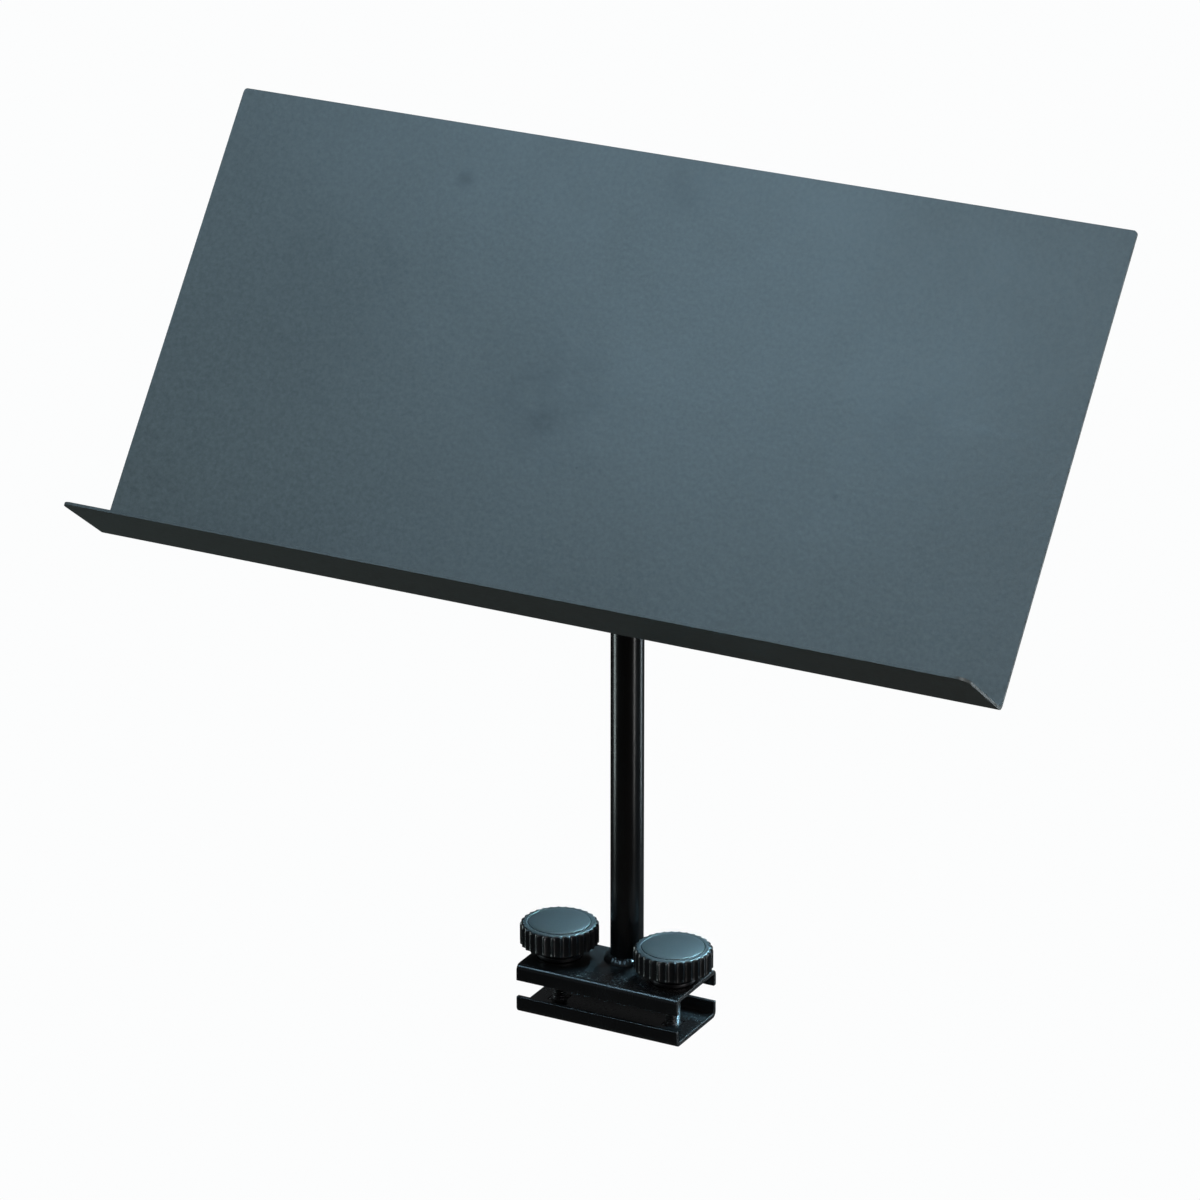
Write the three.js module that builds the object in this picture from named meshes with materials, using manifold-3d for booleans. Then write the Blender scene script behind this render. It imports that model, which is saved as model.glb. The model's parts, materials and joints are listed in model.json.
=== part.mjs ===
// A clamp-on music desk. A folded steel desk tilts on a bracket at the top of a short post,
// and a two-jaw clamp at the foot of the post grips a tube or bar that runs front to back.
//
// Millimetres. +X is to the reader's right, +Y points away from the reader, +Z is up.
// The origin is midway between the clamp bolts, level with the upper jaw's gripping edges.

import * as THREE from 'three';
import { mergeVertices } from 'three/addons/utils/BufferGeometryUtils.js';
import Module from 'manifold-3d';

const wasm = await Module();
wasm.setup();

// ---- fits ----------------------------------------------------------------------------
const SEAT_GAP = 0.3;          // between two pieces that rest on each other
const BORE_CLEARANCE = 0.3;    // radial, round a pin, bolt or spigot in its hole
const CUT_OVERRUN = 2;         // how far a cutting tool runs past the face it opens

// ---- desk: one folded sheet ----------------------------------------------------------
const DESK_WIDTH = 500;
const DESK_HEIGHT = 245;
const DESK_SHEET = 1.5;
const DESK_BEND = 1.5;         // inner radius of the fold
const DESK_CORNER = 2;         // radius of the two top corners
const DESK_TILT = 37;          // degrees back from upright, as stored
const LIP_DEPTH = 50;
const LIP_CORNER = 6;          // radius of the lip's two free corners

// ---- tilt bracket, a bent strap on the back of the desk -------------------------------
const BRACKET_HEIGHT = 44;
const BRACKET_SHEET = 2.5;
const BRACKET_BEND = 1.5;      // inner radius of its two bends
const BRACKET_REACH = 27;      // from the desk's back to the tilt axis
const EAR_RADIUS = 11;         // round the tilt bolt
const BRACKET_WELD = 3;        // leg of the weld along each side of the strap
const BRACKET_WELD_LENGTH = 34;
const WELD_HOLLOW = 0.4;       // how near the middle of a weld's face comes to its corner

// ---- post ----------------------------------------------------------------------------
const POST_DIAMETER = 17.2;
const POST_WALL = 1.8;
const POST_LENGTH = 290;
const POST_SETBACK = 12;       // post axis behind the middle of the clamp
const POST_WELD = 3.2;         // leg of the weld round its foot

// ---- tilt head, a plug with two flats in the top of the post ---------------------------
const HEAD_THICKNESS = 14;     // across the flats
const PIVOT_RISE = 12.3;       // tilt axis above the top of the post
const SPIGOT_LENGTH = 22;
const HEAD_PIN_DIAMETER = 4;
const HEAD_PIN_DROP = 10;      // pin axis below the top of the post
const FRICTION_WASHER_DIAMETER = 17;
const FRICTION_WASHER_THICKNESS = 1.6;

// ---- clamp: two pressed channels, one turned over on the other --------------------------
const JAW_LENGTH = 93;
const JAW_WIDTH = 44;
const JAW_DEPTH = 9;
const JAW_SHEET = 2.5;
const JAW_BEND = 0.8;          // inner radius of its bends
const JAW_GAP = 9;             // between the gripping edges, as stored
const BOLT_SPACING = 66;

// ---- carriage bolts ------------------------------------------------------------------
const BOLT_DIAMETER = 8;
const NECK_EXTRA = 0.4;        // how much wider the square neck is than the shank
const BOLT_HEAD_DIAMETER = 19;
const BOLT_HEAD_HEIGHT = 4.4;
const BOLT_TIP_CHAMFER = 0.8;

// ---- fluted knobs ----------------------------------------------------------------------
const CLAMP_KNOB = { diameter: 41, flutes: 30, hub: 24, hubHeight: 4.2, rim: 11.5 };
const TILT_KNOB = { diameter: 32, flutes: 24, hub: 18, hubHeight: 4.2, rim: 11.5 };
const FLUTE_DEPTH = 1;
const KNOB_EDGE = 1;           // bevel round the rim
const KNOB_DOME = 1;           // rise of the top
const KNOB_TOP_WALL = 2.5;     // plastic left above the blind hole
const INSERT_WALL = 2.2;
const INSERT_LENGTH = 10;
const BOLT_END_ROOM = 1.4;     // free depth above the bolt in the blind hole
const CLAMP_WASHER = { diameter: 24, thickness: 2 };
const TILT_WASHER = { diameter: 16, thickness: 1.6 };

// ---- places worked out from the sizes ---------------------------------------------------
const POST_FOOT = JAW_DEPTH + SEAT_GAP;
const POST_TOP = POST_FOOT + POST_LENGTH;
const PIVOT_HEIGHT = POST_TOP + PIVOT_RISE;
const POST_RADIUS = POST_DIAMETER / 2;
const BORE_RADIUS = BOLT_DIAMETER / 2 + BORE_CLEARANCE;
const NECK_SIDE = BOLT_DIAMETER + NECK_EXTRA;
const INSERT_DIAMETER = 2 * (BORE_RADIUS + INSERT_WALL);
const WASHER_FACE = HEAD_THICKNESS / 2 + SEAT_GAP;
const EAR_INNER = WASHER_FACE + FRICTION_WASHER_THICKNESS + SEAT_GAP;
const EAR_OUTER = EAR_INNER + BRACKET_SHEET;
const BACK_OF_DESK = -BRACKET_REACH;            // along the desk's own depth axis
const FOLD_LEVEL = -DESK_HEIGHT / 2;            // along the desk's own height axis

const ROUND_STEPS = 40;
const SMALL_STEPS = 28;
const CORNER_STEPS = 4;
const DOME_STEPS = 5;
const MERGE_DISTANCE = 1e-4;

// ---- materials -------------------------------------------------------------------------
function paint(color, roughness, metalness) {
  return new THREE.MeshStandardMaterial({ color, roughness, metalness });
}
const deskPaint = paint('#55636b', 0.5, 0);
const blackPaint = paint('#0d0e10', 0.25, 0);
const blackPlastic = paint('#16191b', 0.35, 0);
const blackZinc = paint('#34363a', 0.35, 0.9);
const brass = paint('#b08d4a', 0.35, 1);
const fibre = paint('#4a3426', 0.8, 0);

// ---- shape helpers ------------------------------------------------------------------------
const X_AXIS = new THREE.Vector3(1, 0, 0);
const Y_AXIS = new THREE.Vector3(0, 1, 0);
const Z_AXIS = new THREE.Vector3(0, 0, 1);

// A three.js geometry as a solid that can be joined and cut.
function toSolid(geometry) {
  const bare = geometry.clone();
  bare.deleteAttribute('normal');
  bare.deleteAttribute('uv');
  const merged = mergeVertices(bare, MERGE_DISTANCE);
  const index = merged.index.array;
  const faces = [];
  for (let i = 0; i < index.length; i += 3) {
    const [a, b, c] = index.slice(i, i + 3);
    if (a !== b && b !== c && c !== a) faces.push(a, b, c);
  }
  const vertProperties = merged.attributes.position.array;
  const triVerts = Uint32Array.from(faces);
  return new wasm.Manifold(new wasm.Mesh({ numProp: 3, vertProperties, triVerts }));
}

function toGeometry(solid) {
  const mesh = solid.getMesh();
  const geometry = new THREE.BufferGeometry();
  geometry.setAttribute('position', new THREE.BufferAttribute(mesh.vertProperties, 3));
  geometry.setIndex(new THREE.BufferAttribute(mesh.triVerts, 1));
  geometry.computeVertexNormals();
  return geometry;
}

function subtract(body, ...tools) {
  return tools.reduce((left, tool) => left.subtract(toSolid(tool)), body);
}

// A flat shape drawn in Y and Z, carried along X and centred on X = 0.
function alongX(shape, length, steps = CORNER_STEPS) {
  const settings = { depth: length, bevelEnabled: false, curveSegments: steps };
  const geometry = new THREE.ExtrudeGeometry(shape, settings);
  geometry.translate(0, 0, -length / 2);
  return geometry.applyMatrix4(new THREE.Matrix4().makeBasis(Y_AXIS, Z_AXIS, X_AXIS));
}

// A flat shape drawn in X and Y, carried along Z and centred on Z = 0.
function alongZ(shape, length, steps = CORNER_STEPS) {
  const settings = { depth: length, bevelEnabled: false, curveSegments: steps };
  const geometry = new THREE.ExtrudeGeometry(shape, settings);
  return geometry.translate(0, 0, -length / 2);
}

// A round bar along Z, from one height to another.
function barZ(radius, low, high, steps = SMALL_STEPS) {
  const geometry = new THREE.CylinderGeometry(radius, radius, high - low, steps);
  return geometry.rotateX(Math.PI / 2).translate(0, 0, (low + high) / 2);
}

// A profile of [radius, height] points turned about Z.
function turned(profile, steps = SMALL_STEPS) {
  const points = profile.map(([radius, height]) => new THREE.Vector2(radius, height));
  return new THREE.LatheGeometry(points, steps).rotateX(Math.PI / 2);
}

function ring(inner, outer, low, high, steps = SMALL_STEPS) {
  return turned([[inner, low], [outer, low], [outer, high], [inner, high], [inner, low]], steps);
}

function polygon(points) {
  return new THREE.Shape(points.map(([x, y]) => new THREE.Vector2(x, y)));
}

// The sliver outside a rounded corner. The corner's tip is at the origin, and the piece
// it is cut from lies towards minus x and minus y.
function cornerSliver(radius) {
  const shape = new THREE.Shape();
  shape.moveTo(-radius, CUT_OVERRUN);
  shape.lineTo(-radius, 0);
  shape.absarc(-radius, -radius, radius, Math.PI / 2, 0, true);
  shape.lineTo(CUT_OVERRUN, -radius);
  shape.lineTo(CUT_OVERRUN, CUT_OVERRUN);
  return shape;
}

const group = new THREE.Group();

function place(parent, name, shape, material) {
  const geometry = shape.isBufferGeometry ? shape : toGeometry(shape);
  const mesh = new THREE.Mesh(geometry, material);
  mesh.name = name;
  parent.add(mesh);
  return mesh;
}

// ---- desk ----------------------------------------------------------------------------------
// The desk's own axes have their origin on the tilt axis: Y runs from front to back through
// the sheet, and Z runs up it.
const desk = new THREE.Group();
desk.position.set(0, POST_SETBACK, PIVOT_HEIGHT);
desk.rotation.x = -THREE.MathUtils.degToRad(DESK_TILT);
group.add(desk);

function deskSection() {
  const outer = DESK_BEND + DESK_SHEET;
  const back = BACK_OF_DESK;
  const shape = new THREE.Shape();
  shape.moveTo(back, DESK_HEIGHT / 2);
  shape.lineTo(back - DESK_SHEET, DESK_HEIGHT / 2);
  shape.lineTo(back - DESK_SHEET, FOLD_LEVEL + outer);
  shape.absarc(back - outer, FOLD_LEVEL + outer, DESK_BEND, 0, -Math.PI / 2, true);
  shape.lineTo(back - LIP_DEPTH, FOLD_LEVEL + DESK_SHEET);
  shape.lineTo(back - LIP_DEPTH, FOLD_LEVEL);
  shape.lineTo(back - outer, FOLD_LEVEL);
  shape.absarc(back - outer, FOLD_LEVEL + outer, outer, -Math.PI / 2, 0, false);
  return shape;
}

function musicDesk() {
  const cutters = [];
  for (const side of [-1, 1]) {
    const lipCut = alongZ(cornerSliver(LIP_CORNER), DESK_SHEET + 2 * CUT_OVERRUN);
    lipCut.rotateX(Math.PI);
    if (side < 0) lipCut.rotateY(Math.PI);
    lipCut.translate(side * DESK_WIDTH / 2, BACK_OF_DESK - LIP_DEPTH, FOLD_LEVEL + DESK_SHEET / 2);
    const topCut = alongZ(cornerSliver(DESK_CORNER), DESK_SHEET + 2 * CUT_OVERRUN);
    topCut.rotateX(Math.PI / 2);
    if (side < 0) topCut.rotateZ(Math.PI);
    topCut.translate(side * DESK_WIDTH / 2, BACK_OF_DESK - DESK_SHEET / 2, DESK_HEIGHT / 2);
    cutters.push(lipCut, topCut);
  }
  return subtract(toSolid(alongX(deskSection(), DESK_WIDTH)), ...cutters);
}

// ---- tilt bracket ----------------------------------------------------------------------------
const STRAP_FRONT = BACK_OF_DESK + SEAT_GAP;

function strapSection() {
  const outer = BRACKET_BEND + BRACKET_SHEET;
  const shape = new THREE.Shape();
  shape.moveTo(EAR_OUTER, EAR_RADIUS);
  shape.lineTo(EAR_INNER, EAR_RADIUS);
  shape.lineTo(EAR_INNER, STRAP_FRONT + outer);
  shape.absarc(EAR_INNER - BRACKET_BEND, STRAP_FRONT + outer, BRACKET_BEND, 0, -Math.PI / 2, true);
  shape.lineTo(BRACKET_BEND - EAR_INNER, STRAP_FRONT + BRACKET_SHEET);
  shape.absarc(BRACKET_BEND - EAR_INNER, STRAP_FRONT + outer, BRACKET_BEND, -Math.PI / 2, -Math.PI, true);
  shape.lineTo(-EAR_INNER, EAR_RADIUS);
  shape.lineTo(-EAR_OUTER, EAR_RADIUS);
  shape.lineTo(-EAR_OUTER, STRAP_FRONT + outer);
  shape.absarc(outer - EAR_OUTER, STRAP_FRONT + outer, outer, Math.PI, 1.5 * Math.PI, false);
  shape.lineTo(EAR_OUTER - outer, STRAP_FRONT);
  shape.absarc(EAR_OUTER - outer, STRAP_FRONT + outer, outer, 1.5 * Math.PI, 2 * Math.PI, false);
  return shape;
}

// Side view of an ear: full height at the desk, narrowing to a round end about the bolt.
function earOutline() {
  const half = BRACKET_HEIGHT / 2;
  const shoulder = STRAP_FRONT + BRACKET_SHEET + BRACKET_BEND;
  const shape = new THREE.Shape();
  shape.moveTo(STRAP_FRONT - CUT_OVERRUN, half);
  shape.lineTo(STRAP_FRONT - CUT_OVERRUN, -half);
  shape.lineTo(shoulder, -half);
  shape.lineTo(0, -EAR_RADIUS);
  shape.absarc(0, 0, EAR_RADIUS, -Math.PI / 2, Math.PI / 2, false);
  shape.lineTo(shoulder, half);
  return shape;
}

function squareBar(side, length) {
  return new THREE.BoxGeometry(side, side, length);
}

function deskBracket() {
  const strap = toSolid(alongZ(strapSection(), BRACKET_HEIGHT));
  const sides = toSolid(alongX(earOutline(), 2 * EAR_OUTER + CUT_OVERRUN, SMALL_STEPS / 2));
  const reach = BRACKET_SHEET + 2 * CUT_OVERRUN;
  const earMiddle = (EAR_INNER + EAR_OUTER) / 2;
  const round = barZ(BORE_RADIUS, -reach / 2, reach / 2).rotateY(Math.PI / 2);
  round.translate(earMiddle, 0, 0);
  const square = squareBar(NECK_SIDE + 2 * BORE_CLEARANCE, reach).rotateY(Math.PI / 2);
  square.translate(-earMiddle, 0, 0);
  return subtract(strap.intersect(sides), round, square);
}

// A fillet weld with a hollow face, in the corner between one side of the strap and the desk.
function bracketWeld(side) {
  const corner = EAR_OUTER + SEAT_GAP;
  const hollow = WELD_HOLLOW * BRACKET_WELD;
  const shape = new THREE.Shape();
  shape.moveTo(side * corner, STRAP_FRONT);
  shape.lineTo(side * (corner + BRACKET_WELD), STRAP_FRONT);
  shape.quadraticCurveTo(
    side * (corner + hollow), STRAP_FRONT + hollow,
    side * corner, STRAP_FRONT + BRACKET_WELD,
  );
  return alongZ(shape, BRACKET_WELD_LENGTH);
}

// ---- tilt head and post -------------------------------------------------------------------------
const head = new THREE.Group();
head.position.set(0, POST_SETBACK, PIVOT_HEIGHT);
group.add(head);

function pinBore(length) {
  const bore = barZ(HEAD_PIN_DIAMETER / 2 + BORE_CLEARANCE, -length / 2, length / 2);
  return bore.rotateY(Math.PI / 2);
}

function tiltHead() {
  const tongue = new THREE.Shape();
  const foot = SEAT_GAP - PIVOT_RISE;
  tongue.moveTo(-POST_RADIUS, foot);
  tongue.lineTo(POST_RADIUS, foot);
  tongue.absarc(0, 0, POST_RADIUS, 0, Math.PI, false);
  const spigotRadius = POST_RADIUS - POST_WALL - BORE_CLEARANCE;
  const spigot = toSolid(barZ(spigotRadius, -PIVOT_RISE - SPIGOT_LENGTH, foot + CUT_OVERRUN));
  const block = toSolid(alongX(tongue, HEAD_THICKNESS, SMALL_STEPS / 2)).add(spigot);
  const boltHole = barZ(BORE_RADIUS, -HEAD_THICKNESS, HEAD_THICKNESS).rotateY(Math.PI / 2);
  const pinHole = pinBore(POST_DIAMETER).translate(0, 0, -PIVOT_RISE - HEAD_PIN_DROP);
  return subtract(block, boltHole, pinHole);
}

function postTube() {
  const tube = ring(POST_RADIUS - POST_WALL, POST_RADIUS, POST_FOOT, POST_TOP, ROUND_STEPS);
  const cut = pinBore(POST_DIAMETER + 2 * CUT_OVERRUN).translate(0, 0, POST_TOP - HEAD_PIN_DROP);
  return subtract(toSolid(tube), cut);
}

// The weld runs round the front and sides of the foot and stops where the jaw's back edge
// starts to curve down.
function postWeld() {
  const inner = POST_RADIUS + SEAT_GAP;
  const profile = [
    [inner, POST_FOOT],
    [inner + POST_WELD, POST_FOOT],
    [inner + WELD_HOLLOW * POST_WELD, POST_FOOT + WELD_HOLLOW * POST_WELD],
    [inner, POST_FOOT + POST_WELD],
    [inner, POST_FOOT],
  ];
  const flatEnd = JAW_WIDTH / 2 - JAW_SHEET - JAW_BEND - POST_SETBACK;
  const reach = 2 * (POST_DIAMETER + POST_WELD);
  const behind = new THREE.BoxGeometry(reach, reach, reach);
  behind.translate(0, flatEnd + reach / 2, POST_FOOT);
  return subtract(toSolid(turned(profile, ROUND_STEPS)), behind);
}

// ---- clamp jaws -----------------------------------------------------------------------------------
// An inverted channel: its web on top, its two flanges pointing down to the gripping edges.
function jawSection() {
  const half = JAW_WIDTH / 2;
  const outer = JAW_BEND + JAW_SHEET;
  const inside = half - JAW_SHEET;
  const shape = new THREE.Shape();
  shape.moveTo(-half, 0);
  shape.lineTo(-inside, 0);
  shape.lineTo(-inside, JAW_DEPTH - outer);
  shape.absarc(-inside + JAW_BEND, JAW_DEPTH - outer, JAW_BEND, Math.PI, Math.PI / 2, true);
  shape.lineTo(inside - JAW_BEND, JAW_DEPTH - JAW_SHEET);
  shape.absarc(inside - JAW_BEND, JAW_DEPTH - outer, JAW_BEND, Math.PI / 2, 0, true);
  shape.lineTo(inside, 0);
  shape.lineTo(half, 0);
  shape.lineTo(half, JAW_DEPTH - outer);
  shape.absarc(half - outer, JAW_DEPTH - outer, outer, 0, Math.PI / 2, false);
  shape.lineTo(outer - half, JAW_DEPTH);
  shape.absarc(outer - half, JAW_DEPTH - outer, outer, Math.PI / 2, Math.PI, false);
  return shape;
}

function jaw(boltHole) {
  const holes = [-1, 1].map((side) => boltHole().translate(side * BOLT_SPACING / 2, 0, JAW_DEPTH));
  return subtract(toSolid(alongX(jawSection(), JAW_LENGTH, CORNER_STEPS)), ...holes);
}

function upperJaw() {
  return jaw(() => barZ(BORE_RADIUS, -JAW_SHEET - CUT_OVERRUN, CUT_OVERRUN));
}

function lowerJaw() {
  return jaw(() => squareBar(NECK_SIDE + 2 * BORE_CLEARANCE, 2 * (JAW_SHEET + CUT_OVERRUN)));
}

// ---- bolts, washers, knobs ---------------------------------------------------------------------------
// A carriage bolt standing on its domed head: the seat under the head is at Z = 0. Its square
// neck fills the sheet that it goes through.
function carriageBolt(length, sheet) {
  const dome = [[0, -BOLT_HEAD_HEIGHT]];
  for (let i = 1; i <= DOME_STEPS; i += 1) {
    const angle = (i / DOME_STEPS) * Math.PI / 2;
    dome.push([BOLT_HEAD_DIAMETER / 2 * Math.sin(angle), -BOLT_HEAD_HEIGHT * Math.cos(angle)]);
  }
  const radius = BOLT_DIAMETER / 2;
  const profile = [
    ...dome,
    [radius, 0],
    [radius, length - BOLT_TIP_CHAMFER],
    [radius - BOLT_TIP_CHAMFER, length],
    [0, length],
  ];
  const neck = squareBar(NECK_SIDE, sheet + SEAT_GAP);
  neck.translate(0, 0, (sheet - SEAT_GAP) / 2);
  return toSolid(turned(profile)).add(toSolid(neck));
}

function washer({ diameter, thickness }) {
  return ring(BORE_RADIUS, diameter / 2, 0, thickness);
}

function boltDepthIn(knob) {
  return knob.hubHeight + knob.rim - KNOB_TOP_WALL - BOLT_END_ROOM;
}

// A fluted knob on its hub. The hub's face is at Z = 0 and the blind bolt hole opens there.
function flutedKnob(knob) {
  const outline = [];
  const crests = 2 * knob.flutes;
  for (let i = 0; i < crests; i += 1) {
    const radius = knob.diameter / 2 - KNOB_EDGE - (i % 2) * FLUTE_DEPTH;
    const angle = (i / crests) * 2 * Math.PI;
    outline.push([radius * Math.cos(angle), radius * Math.sin(angle)]);
  }
  const rim = new THREE.ExtrudeGeometry(polygon(outline), {
    depth: knob.rim - 2 * KNOB_EDGE,
    bevelSize: KNOB_EDGE,
    bevelThickness: KNOB_EDGE,
    bevelSegments: 1,
  });
  rim.translate(0, 0, knob.hubHeight + KNOB_EDGE);
  const top = knob.hubHeight + knob.rim;
  const crown = knob.diameter / 2 - KNOB_EDGE - 2 * FLUTE_DEPTH;
  const dome = turned([
    [0, top - KNOB_EDGE],
    [crown, top - KNOB_EDGE],
    [crown, top],
    [crown / 2, top + KNOB_DOME * 3 / 4],
    [0, top + KNOB_DOME],
  ]);
  const hub = barZ(knob.hub / 2, 0, knob.hubHeight + KNOB_EDGE);
  const pocket = barZ(INSERT_DIAMETER / 2 + BORE_CLEARANCE, -CUT_OVERRUN, INSERT_LENGTH + 2 * SEAT_GAP);
  const blindHole = barZ(BORE_RADIUS, -CUT_OVERRUN, top - KNOB_TOP_WALL);
  return subtract(toSolid(rim).add(toSolid(dome)).add(toSolid(hub)), pocket, blindHole);
}

function threadedInsert() {
  return ring(BORE_RADIUS, INSERT_DIAMETER / 2, SEAT_GAP, SEAT_GAP + INSERT_LENGTH);
}

// ---- assembly -----------------------------------------------------------------------------------------
place(desk, 'music_desk', musicDesk(), deskPaint);
place(desk, 'desk_bracket', deskBracket(), blackPaint);
place(desk, 'bracket_weld_left', bracketWeld(-1), blackPaint);
place(desk, 'bracket_weld_right', bracketWeld(1), blackPaint);

place(head, 'tilt_head', tiltHead(), blackZinc);
const headPin = barZ(HEAD_PIN_DIAMETER / 2, -POST_RADIUS, POST_RADIUS).rotateY(Math.PI / 2);
headPin.translate(0, 0, -PIVOT_RISE - HEAD_PIN_DROP);
place(head, 'head_pin', headPin, blackZinc);

const post = new THREE.Group();
post.position.y = POST_SETBACK;
group.add(post);
place(post, 'post_tube', postTube(), blackPaint);
place(post, 'post_weld', postWeld(), blackPaint);

for (const side of [-1, 1]) {
  const hand = side < 0 ? 'left' : 'right';
  const disc = ring(BORE_RADIUS, FRICTION_WASHER_DIAMETER / 2, 0, FRICTION_WASHER_THICKNESS);
  const frictionWasher = place(desk, `friction_washer_${hand}`, disc, fibre);
  frictionWasher.rotation.y = side * Math.PI / 2;
  frictionWasher.position.x = side * WASHER_FACE;
}

// The tilt bolt lies along X with its head on the left ear and its knob on the right.
const tiltAxle = new THREE.Group();
tiltAxle.rotation.y = Math.PI / 2;
desk.add(tiltAxle);
const tiltWasherSeat = EAR_OUTER + SEAT_GAP;
const tiltKnobSeat = tiltWasherSeat + TILT_WASHER.thickness + SEAT_GAP;
const tiltHeadSeat = -EAR_OUTER - SEAT_GAP;
const tiltBoltLength = tiltKnobSeat + boltDepthIn(TILT_KNOB) - tiltHeadSeat;
const tiltBolt = carriageBolt(tiltBoltLength, BRACKET_SHEET);
place(tiltAxle, 'tilt_bolt', tiltBolt, blackZinc).position.z = tiltHeadSeat;
place(tiltAxle, 'tilt_washer', washer(TILT_WASHER), blackZinc).position.z = tiltWasherSeat;
place(tiltAxle, 'tilt_knob', flutedKnob(TILT_KNOB), blackPlastic).position.z = tiltKnobSeat;
place(tiltAxle, 'tilt_knob_insert', threadedInsert(), brass).position.z = tiltKnobSeat;

place(group, 'upper_jaw', upperJaw(), blackPaint);
const lower = place(group, 'lower_jaw', lowerJaw(), blackPaint);
lower.rotation.x = Math.PI;
lower.position.z = -JAW_GAP;

const clampHeadSeat = -JAW_GAP - JAW_DEPTH - SEAT_GAP;
const clampWasherSeat = JAW_DEPTH + SEAT_GAP;
const clampKnobSeat = clampWasherSeat + CLAMP_WASHER.thickness + SEAT_GAP;
const clampBoltLength = clampKnobSeat + boltDepthIn(CLAMP_KNOB) - clampHeadSeat;
for (const side of [-1, 1]) {
  const hand = side < 0 ? 'left' : 'right';
  const stack = new THREE.Group();
  stack.position.x = side * BOLT_SPACING / 2;
  group.add(stack);
  const bolt = carriageBolt(clampBoltLength, JAW_SHEET);
  place(stack, `clamp_bolt_${hand}`, bolt, blackZinc).position.z = clampHeadSeat;
  place(stack, `clamp_washer_${hand}`, washer(CLAMP_WASHER), blackZinc).position.z = clampWasherSeat;
  place(stack, `clamp_knob_${hand}`, flutedKnob(CLAMP_KNOB), blackPlastic).position.z = clampKnobSeat;
  place(stack, `knob_insert_${hand}`, threadedInsert(), brass).position.z = clampKnobSeat;
}

export default group;
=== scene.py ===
# %% [markdown]
# # A clamp-on music desk
# The object is a folded steel desk on a short post. A bracket behind the desk lets it tilt, and
# a clamp with two fluted knobs grips a tube that runs front to back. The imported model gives
# every place and every moving body. The cells below give each piece its real surface and paint.

# %% The frame
import json
import math

import bmesh
import bpy
import numpy as np
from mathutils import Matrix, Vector


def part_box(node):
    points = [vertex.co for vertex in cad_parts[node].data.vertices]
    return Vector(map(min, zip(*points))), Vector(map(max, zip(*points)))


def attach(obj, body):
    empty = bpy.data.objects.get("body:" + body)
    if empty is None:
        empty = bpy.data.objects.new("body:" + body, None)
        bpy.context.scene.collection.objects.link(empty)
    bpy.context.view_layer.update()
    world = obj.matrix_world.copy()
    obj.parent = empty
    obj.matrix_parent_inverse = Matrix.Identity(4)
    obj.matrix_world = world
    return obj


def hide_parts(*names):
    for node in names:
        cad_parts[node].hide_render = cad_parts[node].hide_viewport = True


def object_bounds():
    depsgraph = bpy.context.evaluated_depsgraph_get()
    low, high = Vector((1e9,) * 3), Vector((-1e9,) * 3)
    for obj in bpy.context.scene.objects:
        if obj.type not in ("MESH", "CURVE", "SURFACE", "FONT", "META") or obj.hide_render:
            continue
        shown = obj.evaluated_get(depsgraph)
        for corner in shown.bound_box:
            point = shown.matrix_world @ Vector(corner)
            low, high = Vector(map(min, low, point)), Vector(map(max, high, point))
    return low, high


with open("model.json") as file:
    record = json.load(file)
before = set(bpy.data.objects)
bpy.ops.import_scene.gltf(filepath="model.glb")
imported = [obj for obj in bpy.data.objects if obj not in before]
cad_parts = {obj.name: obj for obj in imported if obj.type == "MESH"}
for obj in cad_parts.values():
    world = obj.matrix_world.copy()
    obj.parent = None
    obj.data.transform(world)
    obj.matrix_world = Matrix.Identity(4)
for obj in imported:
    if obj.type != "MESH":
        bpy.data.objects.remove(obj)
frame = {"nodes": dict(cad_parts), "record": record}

cad_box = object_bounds()
record = frame["record"]
joints = {joint["name"]: joint for joint in record["behaviour"]["joints"]}
mounts = {mount["name"]: mount for mount in record["mounts"]}
low = {name: np.array(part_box(name)[0]) for name in frame["nodes"]}
high = {name: np.array(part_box(name)[1]) for name in frame["nodes"]}


def centre_of(node):
    """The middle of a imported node's box."""
    return (low[node] + high[node]) / 2


# %% [markdown]
# ## Where things are
# A piece is drawn in axes of its own and then carried to its place. Upright pieces keep the
# frame's axes. The desk leans back, so what belongs to it is drawn in axes that lean with it:
# right, back through the sheet, and up along the sheet, with their origin on the tilt axis.
# The lean is read from the normal of the desk's front face, which the record states.

# %% Axes
MM = 0.001
RIGHT = np.array([1.0, 0.0, 0.0])
BACK = np.array([0.0, 1.0, 0.0])
UP = np.array([0.0, 0.0, 1.0])

REACH = 27 * MM
pivot = np.array(joints["desk_tilt"]["pos_m"])
desk_back = -np.array(mounts["score_face"]["axis"])
desk_up = np.cross(RIGHT, desk_back)


def carried(points, origin, axes):
    """Points in a piece's own axes, moved to the frame: origin + x e1 + y e2 + z e3."""
    return np.asarray(origin) + np.asarray(points) @ np.asarray(axes)


UPRIGHT = (RIGHT, BACK, UP)
ON_DESK = (RIGHT, desk_back, desk_up)
ACROSS_DESK = (desk_back, desk_up, RIGHT)
ACROSS_POST = (BACK, UP, RIGHT)
lean = math.degrees(math.atan2(desk_up[1], desk_up[2]))
print("tilt axis at", pivot.round(4), "desk leans back", round(lean, 2), "degrees")

# %% [markdown]
# ## Nodes in a few words
# A material is a graph of nodes. These functions add a node and link it in one line, so that
# the graphs further down read like formulas.

# %% Node helpers
def add(tree, kind, values=(), **settings):
    """Adds a node, sets its properties, and sets or links its inputs by name or number."""
    made = tree.nodes.new("ShaderNode" + kind)
    for name, value in settings.items():
        setattr(made, name, value)
    for name, value in dict(values).items():
        if isinstance(value, bpy.types.NodeSocket):
            tree.links.new(value, made.inputs[name])
        else:
            made.inputs[name].default_value = value
    return made


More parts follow.
